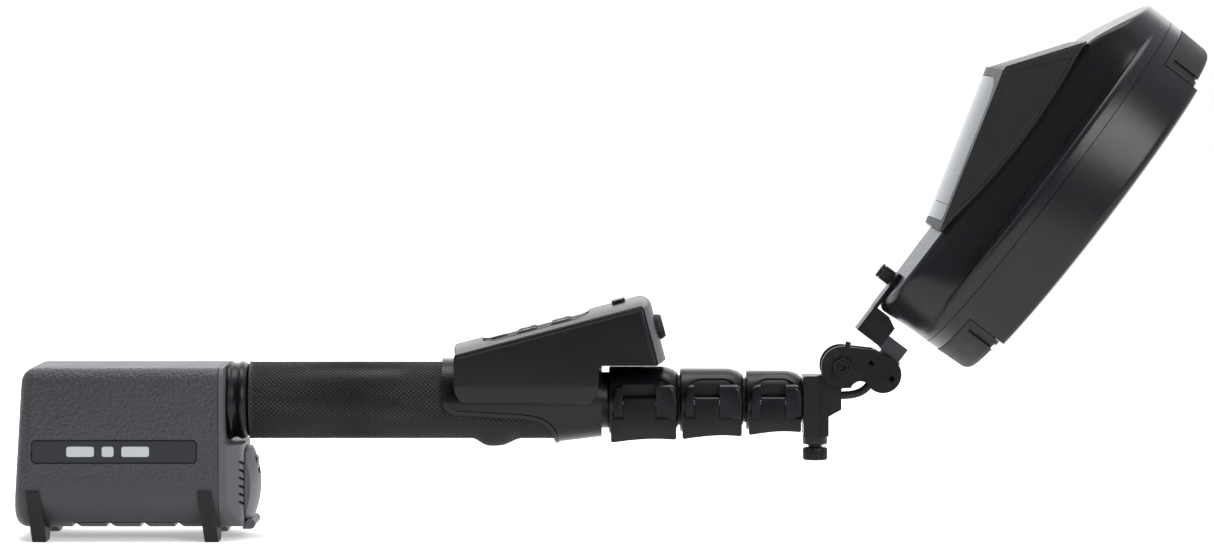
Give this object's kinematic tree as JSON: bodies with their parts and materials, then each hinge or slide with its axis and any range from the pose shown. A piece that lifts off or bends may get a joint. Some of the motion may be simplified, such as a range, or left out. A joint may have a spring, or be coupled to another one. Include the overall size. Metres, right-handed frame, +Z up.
{
  "type": "metal detector",
  "caption": "Hand-held search detector with telescopic pole, flip locks, tilt and swivel knuckle and an oval antenna head with display",
  "frame": {"origin": "middle of the footprint on the floor, at the height of the feet", "axes": "+X along the pole from the battery housing to the head, +Y to the far side from the lock levers, +Z up"},
  "size_m": [0.611, 0.156, 0.2726],
  "materials": {
    "anodised": "black anodised",
    "badge": null,
    "bush": "low-friction white plastic",
    "circuit": "circuit board",
    "copper": "copper antenna plate",
    "headshell": "satin charcoal moulded plastic",
    "keys": "silicone rubber keys",
    "panel": "glossy dark overlay",
    "plastic": "satin black moulded plastic",
    "rubber": "black rubber, knurled on the grip",
    "screen": "glossy black display window",
    "steel": "plain steel",
    "textured": "black plastic with a coarse leather-like texture",
    "wrap": "shrink-wrapped cells"
  },
  "bodies": {
    "base": {"housing_shell": "textured", "front_cap": "plastic", "door_pin": "steel", "badge_plate": "badge", "rear_foot": "rubber", "front_foot": "rubber", "battery_pack": "wrap", "main_board": "circuit", "handle_tube": "anodised", "neck_collar": "plastic", "grip_sleeve": "rubber", "console_base": "plastic", "console_shell": "plastic", "keypad_panel": "panel", "console_board": "circuit", "port_plug": "rubber", "lock_collar_1": "plastic", "lever_pin_1": "steel"},
    "battery_door": {"battery_door": "plastic"},
    "door_latch": {"door_latch": "plastic"},
    "key_power": {"key_power": "keys"},
    "key_down": {"key_down": "keys"},
    "key_up": {"key_up": "keys"},
    "key_mute": {"key_mute": "keys"},
    "key_menu": {"key_menu": "keys"},
    "lever_1": {"lock_lever_1": "plastic"},
    "tube_2": {"pole_tube_2": "anodised", "slide_bush_2": "bush", "lock_collar_2": "plastic", "lever_pin_2": "steel"},
    "lever_2": {"lock_lever_2": "plastic"},
    "tube_3": {"pole_tube_3": "anodised", "slide_bush_3": "bush", "lock_collar_3": "plastic", "lever_pin_3": "steel"},
    "lever_3": {"lock_lever_3": "plastic"},
    "tube_4": {"pole_tube_4": "anodised", "slide_bush_4": "bush", "end_bracket": "plastic", "head_lead": "rubber"},
    "clamp_knob": {"clamp_knob": "anodised"},
    "knuckle": {"knuckle_plate_near": "anodised", "knuckle_plate_far": "anodised", "knuckle_core": "anodised", "cross_pin_lower": "steel", "cross_pin_upper": "steel", "tilt_bolt": "anodised", "tilt_nut": "anodised"},
    "head": {"swivel_shaft": "steel", "neck_block": "plastic", "head_base": "headshell", "head_cover": "headshell", "bumper_tip": "rubber", "bumper_heel": "rubber", "antenna_plate": "copper", "head_board": "circuit", "display_housing": "headshell", "display_glass": "screen", "lcd_panel": "screen"},
    "heel_screw": {"heel_screw": "anodised"}
  },
  "joints": [
    {"name": "door_hinge", "type": "hinge", "parent": "base", "child": "battery_door", "pos_m": [-0.1855, 0, 0.0075], "axis": [0, 1, 0], "range_deg": [0, 90]},
    {"name": "latch_slide", "type": "slide", "parent": "battery_door", "child": "door_latch", "axis": [0, 0, -1], "range_m": [0, 0.0025], "stiffness_N_per_m": 300},
    {"name": "key_power_press", "type": "slide", "parent": "base", "child": "key_power", "axis": [0.2552, 0, -0.9669], "range_m": [0, 0.0008], "stiffness_N_per_m": 500},
    {"name": "key_down_press", "type": "slide", "parent": "base", "child": "key_down", "axis": [0.2552, 0, -0.9669], "range_m": [0, 0.0008], "stiffness_N_per_m": 500},
    {"name": "key_up_press", "type": "slide", "parent": "base", "child": "key_up", "axis": [0.2552, 0, -0.9669], "range_m": [0, 0.0008], "stiffness_N_per_m": 500},
    {"name": "key_mute_press", "type": "slide", "parent": "base", "child": "key_mute", "axis": [0.2552, 0, -0.9669], "range_m": [0, 0.0008], "stiffness_N_per_m": 500},
    {"name": "key_menu_press", "type": "slide", "parent": "base", "child": "key_menu", "axis": [0.2552, 0, -0.9669], "range_m": [0, 0.0008], "stiffness_N_per_m": 500},
    {"name": "lever_1_hinge", "type": "hinge", "parent": "base", "child": "lever_1", "pos_m": [0.0168, -0.0201, 0.0698], "axis": [-1, 0, 0], "range_deg": [0, 100]},
    {"name": "lever_2_hinge", "type": "hinge", "parent": "tube_2", "child": "lever_2", "pos_m": [0.05185, -0.0191, 0.0698], "axis": [-1, 0, 0], "range_deg": [0, 100]},
    {"name": "lever_3_hinge", "type": "hinge", "parent": "tube_3", "child": "lever_3", "pos_m": [0.08405, -0.018, 0.0698], "axis": [-1, 0, 0], "range_deg": [0, 100]},
    {"name": "tube_2_slide", "type": "slide", "parent": "base", "child": "tube_2", "axis": [1, 0, 0], "range_m": [0, 0.2]},
    {"name": "tube_3_slide", "type": "slide", "parent": "tube_2", "child": "tube_3", "axis": [1, 0, 0], "range_m": [0, 0.2]},
    {"name": "tube_4_slide", "type": "slide", "parent": "tube_3", "child": "tube_4", "axis": [1, 0, 0], "range_m": [0, 0.2]},
    {"name": "clamp_knob_turn", "type": "hinge", "parent": "tube_4", "child": "clamp_knob", "pos_m": [0.1046, 0, 0.04935], "axis": [0, 0, 1], "range_deg": [-180, 180]},
    {"name": "tilt_hinge", "type": "hinge", "parent": "tube_4", "child": "knuckle", "pos_m": [0.118, 0, 0.0875], "axis": [0, -1, 0], "range_deg": [-35, 90], "deforming": ["head_lead"]},
    {"name": "head_swivel", "type": "hinge", "parent": "knuckle", "child": "head", "pos_m": [0.13178, 0, 0.07704], "axis": [0.6046, 0, 0.7965], "range_deg": [-90, 90]},
    {"name": "heel_screw_turn", "type": "hinge", "parent": "head", "child": "heel_screw", "pos_m": [0.14436, 0, 0.13215], "axis": [-0.7965, 0, 0.6046], "range_deg": [-180, 180]}
  ]
}
